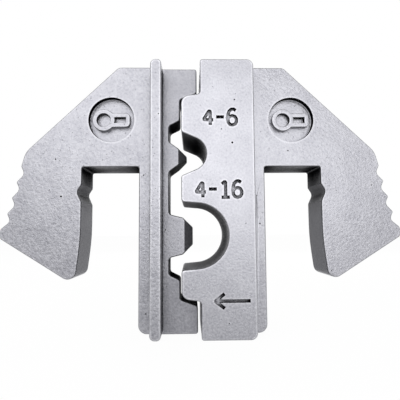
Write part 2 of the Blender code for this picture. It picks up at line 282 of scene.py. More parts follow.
@dataclass
class RimmedSolid(FormRule):
    """The rule that gives an outline its thickness and rounds its rims."""

    title: ClassVar[str] = "rimmed_solid"
    sizes: ClassVar[dict[str, str]] = {"Outline": "Geometry", "Thickness": "Float",
                                       "Rim Radius": "Float", "Rim Steps": "Int"}
    rim_steps: int = 5
    weld: float = 0.001 * MM
    outliner: Outliner = Outliner()

    def form(self, node: NodeAdder, given: Sockets) -> Node:
        """Add the form's own nodes: a wall of rings between two filled faces."""
        ring, rim, steps = given["Outline"], given["Rim Radius"], given["Rim Steps"]
        count = node("GeometryNodeAttributeDomainSize", (ring,), component="MESH")
        rows = node(MATHS, (node(MATHS, (steps, 1.0), operation="ADD"), 2.0), operation="MULTIPLY")
        columns = node(MATHS, (count, 1.0), operation="ADD")
        grid = node("GeometryNodeMeshGrid", {"Vertices X": columns, "Vertices Y": rows})
        index = place = node("GeometryNodeInputIndex")
        for operation, *others in (("ADD", 0.5), ("DIVIDE", rows), ("FLOOR",), ("MODULO", count)):
            place = node(MATHS, (place, *others), operation=operation)
        row = node(MATHS, (index, rows), operation="MODULO")
        last = node(MATHS, (rows, 1.0), operation="SUBTRACT")
        swing = node(MATHS, (row, node(MATHS, (last, row), operation="SUBTRACT")), operation="MINIMUM")
        for operation, other in (("DIVIDE", steps), ("MULTIPLY", math.pi / 2)):
            swing = node(MATHS, (swing, other), operation=operation)
        pulls = []
        for turn in ("SINE", "COSINE"):
            pull = node(MATHS, (1.0, node(MATHS, (swing,), operation=turn)), operation="SUBTRACT")
            pulls.append(node(MATHS, (rim, pull), operation="MULTIPLY"))
        shrink, depth = pulls
        side = node(MATHS, (node(MATHS, (rows, 2.0), operation="DIVIDE"), 0.5), operation="SUBTRACT")
        side = node(MATHS, (node(MATHS, (row, side), operation="SUBTRACT"),), operation="SIGN")
        half = node(MATHS, (given["Thickness"], 2.0), operation="DIVIDE")
        height = node(MATHS, (half, depth), operation="SUBTRACT")
        height = node(MATHS, (side, height), operation="MULTIPLY")
        position = node("GeometryNodeInputPosition")
        inward = node("GeometryNodeInputNamedAttribute", {"Name": "inward"}, data_type="FLOAT_VECTOR")
        spot, move = (node("GeometryNodeSampleIndex", {"Geometry": ring, "Value": value, "Index": place},
                           data_type="FLOAT_VECTOR") for value in (position, inward))
        for shift in (node(VECTORS, {0: move, "Scale": shrink}, operation="SCALE"),
                      node(MERGE, {"Z": height})):
            spot = node(VECTORS, (spot, shift), operation="ADD")
        wall = node("GeometryNodeSetPosition", {"Geometry": grid, "Position": spot})
        shift = node(VECTORS, {0: inward, "Scale": rim}, operation="SCALE")
        face = node("GeometryNodeSetPosition", {"Geometry": ring, "Offset": shift})
        face = node("GeometryNodeFillCurve", (node("GeometryNodeMeshToCurve", (face,)),), mode="NGONS")
        ends = []
        for end, sign in ((face, 1.0), (node("GeometryNodeFlipFaces", (face,)), -1.0)):
            shift = node(MERGE, {"Z": node(MATHS, (half, sign), operation="MULTIPLY")})
            ends.append(node("GeometryNodeTransform", {"Geometry": end, "Translation": shift}))
        top, bottom = ends
        joined = node("GeometryNodeJoinGeometry", (bottom,))
        for part in (top, wall):
            self.tree.links.new(part.outputs[0], joined.inputs[0])
        whole = node("GeometryNodeMergeByDistance", {"Geometry": joined, "Distance": self.weld})
        upright = node("GeometryNodeTransform", {"Geometry": whole, "Rotation": UPRIGHT})
        return node("GeometryNodeSetShadeSmooth", (upright,))

    def make(self, name: str, outline: list[Vector], thickness: float, rim: float,
             steel: Material) -> Object:
        """Make one solid that is centred on Y = 0.

        Args:
            name: the object's name.
            outline: anticlockwise (x, z) points.
            thickness: size along Y.
            rim: radius of both rims.
            steel: the solid's material.

        Returns:
            The solid, as a plain mesh.
        """
        mesh = bpy.data.meshes.new(name)
        edges = [(index, (index + 1) % len(outline)) for index in range(len(outline))]
        mesh.from_pydata([(p.x, p.y, 0.0) for p in outline], edges, [])
        inward = mesh.attributes.new("inward", "FLOAT_VECTOR", "POINT")
        for value, move in zip(inward.data, self.outliner.inward(outline)):
            value.vector = (move.x, move.y, 0.0)
        return self.run(new_object(name, mesh), {"Thickness": thickness, "Rim Radius": rim,
                                                 "Rim Steps": self.rim_steps, "Steel": steel})


@dataclass
class StrokeCutter(FormRule):
    """The rule that sweeps a small rounded bar along drawn strokes."""

    title: ClassVar[str] = "swept_strokes"
    sizes: ClassVar[dict[str, str]] = {"Strokes": "Geometry", "Width": "Float", "Height": "Float",
                                       "Edge Radius": "Float", "Corner Radius": "Float"}
    corner_facets: int = 4
    edge_facets: int = 3
    edge_share: float = 0.16

    def form(self, node: NodeAdder, given: Sockets) -> Node:
        """Add the form's own nodes: strokes with rounded corners, swept with a rounded bar."""
        path = node("GeometryNodeMeshToCurve", (given["Strokes"],))
        bar = node("GeometryNodeCurvePrimitiveQuadrilateral", (given["Width"], given["Height"]),
                   mode="RECTANGLE")
        path, bar = (
            node("GeometryNodeFilletCurve", {"Curve": line, "Count": facets, "Radius": given[radius],
                                             "Limit Radius": True}, mode="POLY")
            for line, facets, radius in ((path, self.corner_facets, "Corner Radius"),
                                         (bar, self.edge_facets, "Edge Radius")))
        path = node("GeometryNodeSetCurveNormal", (path,), mode="Z_UP")
        swept = node("GeometryNodeCurveToMesh", {"Curve": path, "Profile Curve": bar, "Fill Caps": True})
        return node("GeometryNodeTransform", {"Geometry": swept, "Rotation": UPRIGHT})

    def make(self, name: str, strokes: list[list[Point]], face_y: float, width: float, height: float,
             corner: float, steel: Material) -> Object:
        """Make the bars that follow some strokes, centred on a face.

        Args:
            name: the object's name.
            strokes: lists of (x, z) points; a stroke that ends where it starts is closed.
            face_y: Y of the face that the bars are centred on.
            width: width of a bar across its stroke.
            height: size of a bar along Y.
            corner: radius that rounds the corners of the strokes.
            steel: the bars' material.

        Returns:
            The bars, as one plain mesh.
        """
        points, edges = [], []
        for stroke in strokes:
            closed = stroke[0] == stroke[-1]
            drawn = stroke[:-1] if closed else stroke
            first = len(points)
            points += [(x, z, -face_y) for x, z in drawn]
            edges += [(first + i, first + i + 1) for i in range(len(drawn) - 1)]
            if closed:
                edges.append((first + len(drawn) - 1, first))
        mesh = bpy.data.meshes.new(name)
        mesh.from_pydata(points, edges, [])
        return self.run(new_object(name, mesh), {
            "Width": width, "Height": height, "Edge Radius": self.edge_share * width,
            "Corner Radius": corner, "Steel": steel})


@dataclass
class BlastPits(FormRule):
    """The rule that scatters small pits over the flat faces of a casting."""

    title: ClassVar[str] = "scattered_pits"
    sizes: ClassVar[dict[str, str]] = {"Casting": "Geometry", "Density": "Float", "Smallest": "Float",
                                       "Largest": "Float", "Seed": "Int"}
    smallest: float = 0.05 * MM
    largest: float = 0.13 * MM
    per_square_metre: float = 26000.0
    flat_level: float = 0.97

    def form(self, node: NodeAdder, given: Sockets) -> Node:
        """Add the form's own nodes: balls on random points of the faces that look along Y."""
        parts = node(SPLIT, (node("GeometryNodeInputNormal"),)).outputs
        level = node(MATHS, (parts["Y"],), operation="ABSOLUTE")
        flat = node(MATHS, (level, self.flat_level), operation="GREATER_THAN")
        spread = node("GeometryNodeDistributePointsOnFaces",
                      {"Mesh": given["Casting"], "Selection": flat, "Density": given["Density"],
                       "Seed": given["Seed"]}, distribute_method="RANDOM")
        ball = node("GeometryNodeMeshIcoSphere", {"Radius": 1.0, "Subdivisions": 2})
        size = node("FunctionNodeRandomValue", {2: given["Smallest"], 3: given["Largest"],
                                                "Seed": given["Seed"]}, data_type="FLOAT")
        return node("GeometryNodeInstanceOnPoints", {"Points": spread, "Instance": ball, "Scale": size})

    def cut(self, casting: Object, seed: int, voids: tuple[Void, ...]) -> Object:
        """Cut the pits into a casting.

        Args:
            casting: the solid that gets the pits.
            seed: number that fixes the places of the small pits.
            voids: the larger pits, as (x, y, z, radius).

        Returns:
            The casting.
        """
        form = new_object(f"{casting.name}_pits", casting.data.copy())
        self.run(form, {"Density": self.per_square_metre, "Smallest": self.smallest,
                        "Largest": self.largest, "Seed": seed, "Steel": casting.data.materials[0]})
        shape = bmesh.new()
        shape.from_mesh(form.data)
        for *place, radius in voids:
            bmesh.ops.create_icosphere(shape, subdivisions=3, radius=radius,
                                       matrix=Matrix.Translation(place))
        shape.to_mesh(form.data)
        shape.free()
        return combine(casting, form, Operation.CUT)


@dataclass(frozen=True)
class MouldedSteel:
    """Metal injection moulded steel, bead blasted to an even satin.

    The blast leaves a fine matt grain that softens every reflection. Deep walls and creases are
    painted a dark matt colour as painted shade, and the rims are painted brighter, partly as wear
    from handling and partly as a painted highlight.
    Lengths here are in millimetres. An "open" range is of openness, from one on a face that
    stands free to zero in a closed corner. A "level" is that of a surface's normal.
    """

    name: str
    bright: str
    dull: str
    # The fourth colour brightens the rims, partly as wear and partly as a painted highlight, and the
    # fifth is painted shade.
    wear_and_highlight: str
    painted_shade: str
    roughness: float
    grain: float
    grain_depth: float
    ground: float
    inner_face: float
    inner_wall: float
    outer_wall: float
    inner_rim: float
    outer_rim: float = 0.05
    metal: float = 0.9
    # How metallic the painted shade is.
    painted_shade_metal: float = 0.0
    samples: int = 12
    # The pattern in the faces' tone, gloss and relief.
    clouds_per_mm: float = 0.28
    cloud_share: float = 0.35
    specks_per_mm: float = 1.6
    speck_edge: Range = (0.05, 0.12)
    tone: Range = (0.45, 0.9)
    grain_tone: Range = (0.3, 0.7)
    roughness_spread: Range = (-0.05, 0.07)
    ground_fade: float = 2.0
    bump_strength: Range = (0.32, 0.6)
    # The rims that are painted brighter, partly as wear from handling and partly as a painted highlight,
    # and by how much.
    proud_y: Range = (5.8, 6.2)
    block_middle: float = 2.75
    block_edge: Range = (3.8, 4.4)
    sheltered: float = 0.35
    rim_reach: float = 0.4
    rim_open: Range = (0.95, 0.7)
    wear_and_highlight_share: float = 0.42
    # How far the painted shade looks for creases, and for deep places near and far.
    crease_reach: float = 1.0
    crease_open: Range = (0.36, 0.62)
    near: float = 8.0
    near_open: Range = (0.66, 1.0)
    near_share: float = 0.54
    far: float = 14.0
    far_open: Range = (0.72, 0.95)
    far_share: float = 0.6
    # Which surfaces are faces, plate, nest sides, slot roofs, ends and rims.
    flat_level: Range = (0.52, 0.95)
    plate_edge: Range = (5.4, 5.9)
    side_level: Range = (0.0, 0.9)
    side_share: float = 0.35
    roof_level: Range = (-0.95, -0.6)
    roof_gain: float = 2.1
    half_length: float = 20.0
    end_z: Range = (19.5, 19.9)
    rim_wall: Range = (0.75, 1.0)
    rim_level: Range = (0.02, 0.2)

    def make(self) -> Material:
        """Return the finish as a material."""
        steel = bpy.data.materials.new(self.name)
        steel.use_nodes = True
        steel.node_tree.nodes.clear()
        node = partial(add_node, steel.node_tree)
        bright, dull, wear_and_highlight, painted_shade = map(to_linear, (self.bright, self.dull, self.wear_and_highlight, self.painted_shade))
        spot = node("ShaderNodeTexCoord").outputs
        # Places are in millimetres from here on.
        place = node("ShaderNodeMapping", {"Vector": spot["Object"], "Scale": (1 / MM,) * 3})
        x, y, z = node(SPLIT, (place,)).outputs
        rise = node(SPLIT, (spot["Normal"],)).outputs
        from_x, from_block, from_y, from_middle, level, steepness = (
            node(MATHS, (node(MATHS, (value, middle), operation="SUBTRACT"),), operation="ABSOLUTE")
            for value, middle in ((x, 0.0), (x, self.block_middle), (y, 0.0), (z, self.half_length),
                                  (rise["Y"], 0.0), (rise["Z"], 0.0)))
        rim_open, crease_open, near_open, far_open = (
            node("ShaderNodeAmbientOcclusion", {"Distance": reach * MM}, samples=self.samples,
                 inside=inside, only_local=True).outputs["AO"]
            for reach, inside in ((self.rim_reach, True), (self.crease_reach, False),
                                  (self.near, False), (self.far, False)))
        # Real blast grain is about 0.05 mm, too fine to show, so it is drawn several times coarser.
        grain = node("ShaderNodeTexNoise", {"Vector": place, "Scale": 1 / self.grain, "Detail": 3.0,
                                            "Roughness": 0.65})
        # Powder flow leaves soft cloudy tones a few millimetres across.
        cloud = node("ShaderNodeTexNoise", {"Vector": place, "Scale": self.clouds_per_mm, "Detail": 4.0})
        tone = node(MATHS, (cloud, self.cloud_share, grain), operation="MULTIPLY_ADD")
        tone = node(RANGE, (tone, *self.tone))
        colour = node(MIX, {0: tone, 6: dull, 7: bright}, data_type="RGBA")
        # A third of a millimetre of every rim is painted brighter, partly as wear from handling and
        # partly as a painted highlight, most on block and ridge, which stand proud, and little between
        # the block's edges, round its engraved signs.
        wear_and_highlight_share = node(RANGE, (rim_open, *self.rim_open, 0.0, self.wear_and_highlight_share))
        for distance, limits in ((from_y, self.proud_y), (from_block, self.block_edge)):
            proud = node(RANGE, (distance, *limits, self.sheltered, 1.0))
            wear_and_highlight_share = node(MATHS, (wear_and_highlight_share, proud), operation="MULTIPLY")
        colour = node(MIX, {0: wear_and_highlight_share, 6: colour, 7: wear_and_highlight}, data_type="RGBA")
        # One on the flat faces and zero on the walls between them, which are painted darker, as painted
        # shade, the deeper they lie.
        flat = node(RANGE, (level, *self.flat_level))
        near = node(RANGE, (near_open, *self.near_open, 0.0, self.near_share))
        far = node(RANGE, (far_open, *self.far_open, 0.0, self.far_share))
        wall = node(MATHS, (near, far), operation="ADD")
        # Nests, indenters and plate lie deepest between the dies, and their faces are painted darker as
        # painted shade.
        outer = node(RANGE, (from_x, *self.plate_edge))
        face = node(RANGE, (outer, 0.0, 1.0, self.inner_face, 1.0))
        # The nests' level sides are painted darkest, as painted shade, and the slots' roofs get the
        # least painted shade.
        inner_share = node(RANGE, (steepness, *self.side_level, self.inner_wall,
                                   self.side_share * self.inner_wall))
        outer_share = node(RANGE, (rise["Z"], *self.roof_level, self.roof_gain * self.outer_wall,
                                   self.outer_wall))
        # The dies' flat ends lie open, whatever their X.
        outside = node(MATHS, (outer, node(RANGE, (from_middle, *self.end_z))), operation="MAXIMUM")
        # A thin dark line is painted where a deep wall turns into its rim, as a painted dark reflection
        # beside the rim's highlight.
        rim = node(MIX, {0: outside, 2: self.inner_rim, 3: self.outer_rim})
        rim = node(RANGE, (wall, *self.rim_wall, rim, 1.0))
        for share in (node(MIX, {0: outside, 2: inner_share, 3: outer_share}),
                      node(RANGE, (level, *self.rim_level, 1.0, rim))):
            wall = node(MATHS, (wall, share), operation="MULTIPLY")
        # Creases and engraved strokes get painted shade too.
        crease = node(RANGE, (crease_open, *self.crease_open))
        unshaded = node(MATHS, (node(MIX, {0: flat, 2: wall, 3: face}), crease), operation="MULTIPLY")
        # Painted shade: the dark colour goes wherever the share above is low.
        colour = node(MIX, {0: unshaded, 6: painted_shade, 7: colour}, data_type="RGBA")
        metal = node(RANGE, (unshaded, 0.0, 1.0, self.painted_shade_metal, self.metal))
        rougher = (self.roughness + part for part in self.roughness_spread)
        rough = node(RANGE, (grain, *self.grain_tone, *rougher))
        # The middle of the die set is ground before the blast, so its grain is shallower there.
        strength = node(RANGE, (from_x, self.ground, self.ground + self.ground_fade,
                                *self.bump_strength))
        specks = node("ShaderNodeTexVoronoi", {"Vector": place, "Scale": self.specks_per_mm})
        height = node(MATHS, (grain, node(RANGE, (specks, *self.speck_edge))), operation="ADD")
        bump = node("ShaderNodeBump", {"Strength": strength, "Distance": self.grain_depth * MM,
                                       "Height": height})
        # The painted shade is a dark non-metal without a gloss of its own.
        surface = node("ShaderNodeBsdfPrincipled", {"Base Color": colour, "Metallic": metal,
                                                    "Roughness": rough, "Normal": bump,
                                                    "Specular IOR Level": 0.0})
        node("ShaderNodeOutputMaterial", {"Surface": surface})
        return steel


BLOCK_STEEL = MouldedSteel("blasted_moulded_steel", bright="A3A3A8", dull="87878D", wear_and_highlight="E0E0E4",
                           painted_shade="0C0C0E", roughness=0.36, grain=0.32, grain_depth=0.09, ground=7.4,
                           inner_face=1.0, inner_wall=1.3, outer_wall=0.85, inner_rim=0.05)
# The indenter die's steel is the block's steel painted darker, in its tones and plate faces, as painted
# shade on the recessed die.
PLATE_STEEL = MouldedSteel("moulded_steel_painted_darker", bright="9D9DA2", dull="7E7E84", wear_and_highlight="E0E0E4",
                           painted_shade="0B0B0D", roughness=0.37, grain=0.36, grain_depth=0.10, ground=5.0,
                           inner_face=0.88, inner_wall=0.5, outer_wall=1.03, inner_rim=1.0)


@dataclass(frozen=True)
class Nest:
    """One open nest, which takes a terminal barrel."""

    centre_z: float
    radius: float
    depth: float
    flare: float
    lip: float = 0.45 * MM
    steps: int = 40

    @property
    def mouth(self) -> float:
        """Half the nest's width at the land."""
        return self.radius * math.tan((math.pi / 2 - self.flare) / 2) + self.depth * math.tan(self.flare)

    def corners(self, land_x: float) -> list[Corner]:
        """Return the nest's corners, from its upper lip round to its lower lip."""
        arc_x = land_x + self.depth - self.radius
        swing = math.pi / 2 - self.flare
        corners = [(land_x, self.centre_z + self.mouth, self.lip)]
        for step in range(self.steps + 1):
            angle = swing - 2 * swing * step / self.steps
            corners.append((arc_x + self.radius * math.cos(angle),
                            self.centre_z + self.radius * math.sin(angle), 0.0))
        corners.append((land_x, self.centre_z - self.mouth, self.lip))
        return corners


@dataclass(frozen=True)
class Parting:
    """The line along which the dies meet, with every size that both halves take from it."""

    x: float = -3.03 * MM
    land_gap: float = 0.3 * MM
    end_land_gap: float = 0.44 * MM
    end_land_step: float = 2.75 * MM
    step_clearance: float = 0.7 * MM
    relief_depth: float = 1.67 * MM
    relief_slope: float = math.radians(26.0)
    upper_relief_margin: float = 2.65 * MM
    lower_relief_margin: float = 2.5 * MM
    upper_land: float = 3.32 * MM
    lower_land: float = 2.82 * MM
    small: Nest = Nest(centre_z=6.05 * MM, radius=2.45 * MM, depth=3.61 * MM, flare=math.radians(23.5))
    large: Nest = Nest(centre_z=-5.63 * MM, radius=4.6 * MM, depth=6.66 * MM, flare=math.radians(5.0))
    small_clearance: float = 0.85 * MM
    large_clearance: float = 1.53 * MM

    @property
    def end_x(self) -> float:
        """X of the nest block's end lands."""
        return self.x + self.end_land_step

    @property
    def plate_x(self) -> float:
        """X of the plate's lands."""
        return self.x - self.land_gap

    @property
    def plate_end_x(self) -> float:
        """X of the plate's end lands."""
        return self.end_x - self.end_land_gap

    @property
    def relief_x(self) -> float:
        """X of the plate's relief, which the indenters stand on."""
        return self.plate_x - self.relief_depth

    @property
    def relief_run(self) -> float:
        """Height of the relief's sloping ends."""
        return self.relief_depth * math.tan(self.relief_slope)

    @property
    def small_root(self) -> float:
        """Half the small indenter's width at its root."""
        return self.small.mouth - self.small_clearance

    @property
    def large_root(self) -> float:
        """Half the large indenter's width at its root."""
        return self.large.mouth - self.large_clearance

    @property
    def relief_top_z(self) -> float:
        """Upper end of the relief's floor."""
        return self.small.centre_z + self.small_root + self.upper_relief_margin

    @property
    def relief_bottom_z(self) -> float:
        """Lower end of the relief's floor."""
        return self.large.centre_z - self.large_root - self.lower_relief_margin

    @property
    def step_top_z(self) -> float:
        """Height at which the plate's upper land steps out to its end land."""
        return self.relief_top_z + self.relief_run + self.upper_land

    @property
    def step_bottom_z(self) -> float:
        """Height at which the plate's lower land steps out to its end land."""
        return self.relief_bottom_z - self.relief_run - self.lower_land


@dataclass(frozen=True)
class Grip:
    """The serrated finger grip on the outside of a wing."""

    top_x: float = 18.8 * MM
    top_z: float = 6.95 * MM
    top_radius: float = 3.0 * MM
    lead: float = 2.25 * MM
    lean: float = math.radians(14.8)
    teeth: int = 4
    pitch: float = 2.42 * MM
    depth: float = 0.78 * MM
    valley_share: float = 0.4
    point_radius: float = 0.3 * MM
    valley_radius: float = 0.8 * MM
    reach: float = 22.2 * MM
    tip_land: float = 1.3 * MM
    tip_radius: float = 0.6 * MM

    def corners(self, shoulder_x: float) -> list[Corner]:
        """Return the grip's corners, from the leg's tip up to the grip's top."""
        along = Vector((math.sin(self.lean), -math.cos(self.lean)))
        outward = Vector((math.cos(self.lean), math.sin(self.lean)))
        top = Vector((shoulder_x + self.top_x, self.top_z))
        first = top + along * self.lead
        corners = [(*top, self.top_radius)]
        for tooth in range(self.teeth):
            point = first + along * self.pitch * tooth
            valley = point + along * self.pitch * self.valley_share - outward * self.depth
            corners.append((*point, self.point_radius))
            corners.append((*valley, self.valley_radius))
        tip_x = shoulder_x + self.reach
        tip_z = (first + along * self.pitch * self.teeth).y
        corners.append((tip_x, tip_z, self.tip_radius))
        corners.append((tip_x, tip_z - self.tip_land, self.tip_radius))
        return list(reversed(corners))


@dataclass(frozen=True)
class Wing:
    """A forked wing: strip, open slot for the tool's jaw, and spring leg with a notch."""

    thickness: float = 6.8 * MM
    rim: float = 0.2 * MM
    root: float = 1.15 * MM
    half_length: float = 20.0 * MM
    lower_recess: float = 0.2 * MM
    strip: float = 1.9 * MM
    strip_radius: float = 1.25 * MM
    slot: float = 8.5 * MM
    roof_z: float = 4.67 * MM
    roof_radius: float = 0.3 * MM
    notch_drop: float = 2.6 * MM
    notch_height: float = 2.65 * MM
    notch_depth: float = 0.7 * MM
    notch_peak: float = 0.42
    notch_radius: float = 0.95 * MM
    notch_lip: float = 0.4 * MM
    bend_drop: float = 10.87 * MM
    bend_angle: float = math.radians(7.2)
    bend_radius: float = 38.0 * MM
    foot_radius: float = 1.25 * MM
    foot_angle: float = math.radians(32.0)
    top_slope: float = math.radians(43.6)
    top_radius: float = 1.0 * MM
    grip: Grip = Grip()
    mark_x: float = 6.1 * MM
    mark_z: float = 11.84 * MM
    mark_radius: float = 3.45 * MM
    mark_depth: float = 1.0 * MM

    def corners(self, shoulder_x: float) -> list[Corner]:
        """Return the corners of a wing on the +X side of a shoulder."""
        root_x = shoulder_x - self.root
        low_z = self.lower_recess - self.half_length
        strip_x = shoulder_x + self.strip
        leg_x = strip_x + self.slot
        notch_z = self.roof_z - self.notch_drop
        bend_z = self.roof_z - self.bend_drop
        grip = self.grip.corners(shoulder_x)
        tip_x, tip_z = grip[0][:2]
        lean, rise = math.tan(self.bend_angle), math.tan(self.foot_angle)
        foot_x = (leg_x + lean * (bend_z - tip_z + rise * tip_x)) / (1 + lean * rise)
        top_x = grip[-1][0] - (self.half_length - self.grip.top_z) / math.tan(self.top_slope)
        return [
            (root_x, self.half_length, 0.0),
            (root_x, low_z, 0.0),
            (strip_x, low_z, self.strip_radius),
            (strip_x, self.roof_z, self.roof_radius),
            (leg_x, self.roof_z, self.roof_radius),
            (leg_x, notch_z, self.notch_lip),
            (leg_x + self.notch_depth, notch_z - self.notch_height * self.notch_peak, self.notch_radius),
            (leg_x, notch_z - self.notch_height, self.notch_lip),
            (leg_x, bend_z, self.bend_radius),
            (foot_x, tip_z - rise * (tip_x - foot_x), self.foot_radius),
            *grip,
            (top_x, self.half_length, self.top_radius),
        ]


@dataclass(frozen=True)
class Glyphs:
    """Plain numerals and signs, drawn as an engraver's strokes in a box one high."""

    advance: float = 0.74
    width: float = 0.6

    def strokes(self, sign: str) -> list[list[Point]]:
        """Return the strokes of one sign."""
        return {
            "1": [[(0.1, 0.8), (0.33, 1.0), (0.33, 0.0)], [(0.08, 0.0), (0.58, 0.0)]],
            "4": [[(0.44, 0.0), (0.44, 1.0), (0.02, 0.32), (0.62, 0.32)]],
            "6": [[(0.53, 0.9), (0.4, 0.99), (0.25, 0.98), (0.12, 0.86), (0.05, 0.65), (0.03, 0.4),
                   (0.06, 0.17), (0.17, 0.03), (0.32, 0.0), (0.47, 0.05), (0.56, 0.2), (0.56, 0.38),
                   (0.47, 0.53), (0.32, 0.58), (0.17, 0.54), (0.06, 0.42)]],
            "-": [[(0.06, 0.5), (0.54, 0.5)]],
        }[sign]

    def line(self, text: str, centre: Point, height: float) -> list[list[Point]]:
        """Return the strokes of a row of signs.

        Args:
            text: the signs.
            centre: middle of the row.
            height: height of a sign.

        Returns:
            The strokes, in place.
        """
        left = centre[0] - height * (self.advance * (len(text) - 1) + self.width) / 2
        low = centre[1] - height / 2
        placed = []
        for number, sign in enumerate(text):
            start = left + number * self.advance * height
            for stroke in self.strokes(sign):
                placed.append([(start + x * height, low + z * height) for x, z in stroke])
        return placed


@dataclass
class Workshop:
    """The makers that both dies share."""

    outliner: Outliner = Outliner()
    rimmed: RimmedSolid = field(default_factory=RimmedSolid)
    strokes: StrokeCutter = field(default_factory=StrokeCutter)
    pits: BlastPits = field(default_factory=BlastPits)
    recess_fillet: float = 0.15 * MM
    sign_width: float = 0.66 * MM
    sign_rise: float = 0.85 * MM
    sign_sink: float = 0.1 * MM
    sign_fillet: float = 0.3 * MM
    ring_offset: float = 1.2 * MM
    ring_radius: float = 1.35 * MM
    ring_steps: int = 36
    barrel_length: float = 2.45 * MM
    barrel_half: float = 0.75 * MM
    crease_angle: float = math.radians(32.0)

    def wing(self, wing: Wing, shoulder_x: float, half: Half, steel: Material) -> Object:
        """Return a wing, mirrored for the indenter die."""
        corners = wing.corners(abs(shoulder_x))
        if half is Half.INDENTER:
            corners = self.outliner.mirrored(corners)
        outline = self.outliner.rounded(corners)
        return self.rimmed.make(f"{half.value}_wing", outline, wing.thickness, wing.rim, steel)

    def recess(self, wing: Wing, centre: Point, steel: Material) -> Object:
        """Return the disc that cuts the round recess into a wing's front face."""
        outline = self.outliner.circle(centre, wing.mark_radius)
        disc = self.rimmed.make("recess_form", outline, 2 * wing.mark_depth, self.recess_fillet, steel)
        disc.data.transform(Matrix.Translation((0.0, -wing.thickness / 2, 0.0)))
        return disc

    def raised_mark(self, wing: Wing, centre: Point, half: Half,
                    steel: Material) -> Object:
        """Return the raised sign in a recess: a ring terminal, seen from above.

        Args:
            wing: the wing that carries the recess.
            centre: middle of the recess, in X and Z.
            half: the die that it belongs to.
            steel: the sign's material.

        Returns:
            The sign, as one plain mesh.
        """
        x, z = centre
        ring = []
        for step in range(self.ring_steps):
            turn = 2 * math.pi * step / self.ring_steps
            ring.append((x - self.ring_offset + self.ring_radius * math.cos(turn),
                         z + self.ring_radius * math.sin(turn)))
        far_x, top_z, low_z = x + self.barrel_length, z + self.barrel_half, z - self.barrel_half
        barrel = [(x, top_z), (far_x, top_z), (far_x, low_z), (x, low_z)]
        floor_y = wing.mark_depth - wing.thickness / 2
        middle_y = floor_y + (self.sign_sink - self.sign_rise) / 2
        sizes = (middle_y, self.sign_width, self.sign_rise + self.sign_sink, self.sign_fillet, steel)
        sign = self.strokes.make(f"{half.value}_raised_sign", [ring + ring[:1]], *sizes)
        return combine(sign, self.strokes.make("barrel", [barrel], *sizes), Operation.JOIN)

    def smooth(self, casting: Object) -> Object:
        """Give a casting smooth rims between flat faces that are shaded truly flat."""
        casting.data.shade_smooth()
        casting.data.set_sharp_from_angle(angle=self.crease_angle)
        weigher = casting.modifiers.new("true_flats", "WEIGHTED_NORMAL")
        weigher.keep_sharp = True
        weigher.weight = 100
        return baked(casting)

    def stand(self, piece: Object, half_length: float) -> Object:
        """Lift a piece from the outlines' height onto the floor, and leave it one material.

        Args:
            piece: a piece that was drawn from the middle of the dies' length.
            half_length: half the dies' length.

        Returns:
            The piece.
        """
        steel = [finish for finish in piece.data.materials if finish][0]
        piece.data.materials.clear()
        piece.data.materials.append(steel)
        piece.data.polygons.foreach_set("material_index", [0] * len(piece.data.polygons))
        piece.data.transform(Matrix.Translation((0.0, 0.0, half_length)))
        return piece

    def hand_over(self, piece: Object, half: Half, stands_for_node: bool) -> None:
        """Tie a finished piece to its body.

        Args:
            piece: the finished piece.
            half: the die that it belongs to.
            stands_for_node: whether it replaces the die's CAD node.
        """
        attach(piece, half.value)
        if stands_for_node:
            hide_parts(half.value)
        LOG.info("%s: %d faces on %s", piece.name, len(piece.data.polygons), half.value)


@dataclass
class Die:
    """What both dies share: their sizes, and the last steps of their making."""

    half: ClassVar[Half]
    outward: ClassVar[int]
    pit_seed: ClassVar[int]
    length: float = 40.0 * MM
    thickness: float = 12.8 * MM
    rim: float = 0.2 * MM
    outer_radius: float = 0.95 * MM
    inner_radius: float = 0.35 * MM
    parting: Parting = Parting()
    wing: Wing = Wing()

    def complete(self, shop: Workshop, casting: Object, signs: list[Object],
                 steel: Material) -> list[Object]:
        """Give a casting its wing, recess, signs and pits, and lift it to its place.

        Args:
            shop: the shared makers.
            casting: the die without its wing.
            signs: forms that cut the engraved signs.
            steel: the die's material.

        Returns:
            The casting and its raised sign.
        """
        combine(casting, shop.wing(self.wing, self.shoulder_x, self.half, steel), Operation.JOIN)
        centre = (self.shoulder_x + self.outward * self.wing.mark_x, self.wing.mark_z)
        for form in (shop.recess(self.wing, centre, steel), *signs):
            combine(casting, form, Operation.CUT)
        shop.pits.cut(casting, self.pit_seed, self.voids)
        shop.smooth(casting)
        sign = shop.raised_mark(self.wing, centre, self.half, steel)
        return [shop.stand(piece, self.length / 2) for piece in (casting, sign)]


